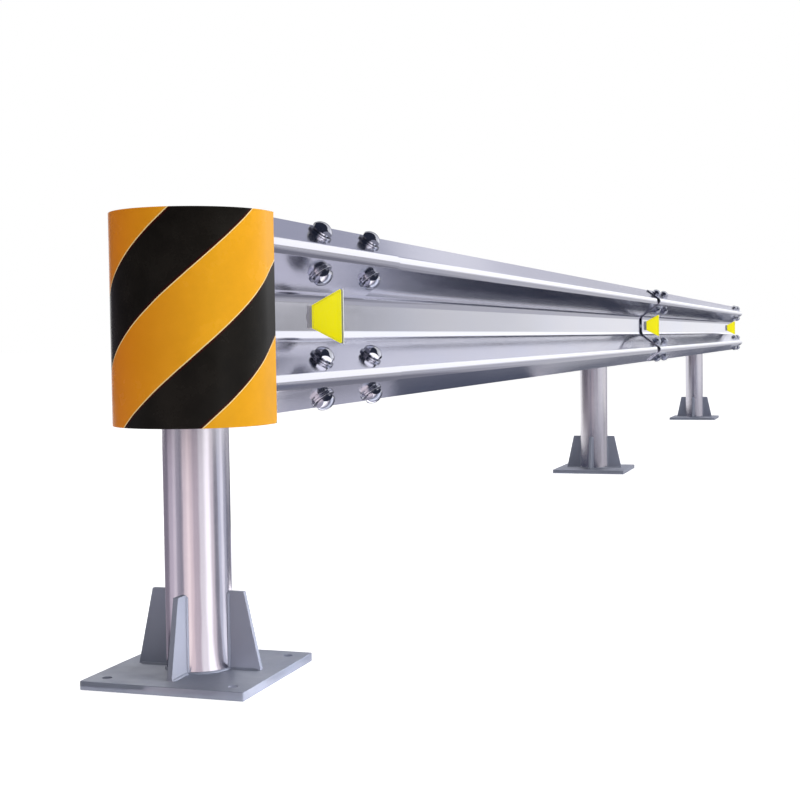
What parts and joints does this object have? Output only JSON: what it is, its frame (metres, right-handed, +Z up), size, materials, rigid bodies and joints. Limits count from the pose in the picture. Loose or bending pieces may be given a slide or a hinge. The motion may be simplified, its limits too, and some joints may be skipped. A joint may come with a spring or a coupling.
{
  "type": "highway guardrail section",
  "caption": "Two-wave steel highway guardrail on round flange posts with blockouts, lapped splices, delineators and a half-round striped nose.",
  "frame": {"origin": "centre of the first base plate's underside, on the axis of the post nearest the striped nose", "axes": "+X along the rail away from the nose, -Y towards the traffic, +Z up"},
  "size_m": [8.9852, 0.4702, 0.8366],
  "materials": {
    "post_steel": "hot-dip galvanised, satin",
    "rail_steel": "hot-dip galvanised, bright",
    "plate_steel": "hot-dip galvanised, dull",
    "nose_stripes": "gloss yellow with diagonal black stripes",
    "lemon": "gloss lemon yellow"
  },
  "bodies": {
    "root": {"post_1": "post_steel", "post_cap_1": "post_steel", "base_plate_1": "plate_steel", "gusset_1_near": "plate_steel", "gusset_1_far": "plate_steel", "gusset_1_front": "plate_steel", "gusset_1_back": "plate_steel", "blockout_1": "post_steel", "reflector_bracket_1": "rail_steel", "reflector_1": "lemon", "post_2": "post_steel", "post_cap_2": "post_steel", "base_plate_2": "plate_steel", "gusset_2_near": "plate_steel", "gusset_2_far": "plate_steel", "gusset_2_front": "plate_steel", "gusset_2_back": "plate_steel", "blockout_2": "post_steel", "reflector_bracket_2": "rail_steel", "reflector_2": "lemon", "post_3": "post_steel", "post_cap_3": "post_steel", "base_plate_3": "plate_steel", "gusset_3_near": "plate_steel", "gusset_3_far": "plate_steel", "gusset_3_front": "plate_steel", "gusset_3_back": "plate_steel", "blockout_3": "post_steel", "reflector_bracket_3": "rail_steel", "reflector_3": "lemon", "beam_1": "rail_steel", "beam_2": "rail_steel", "terminal_section": "rail_steel", "nose_plate": "nose_stripes"}
  },
  "joints": []
}
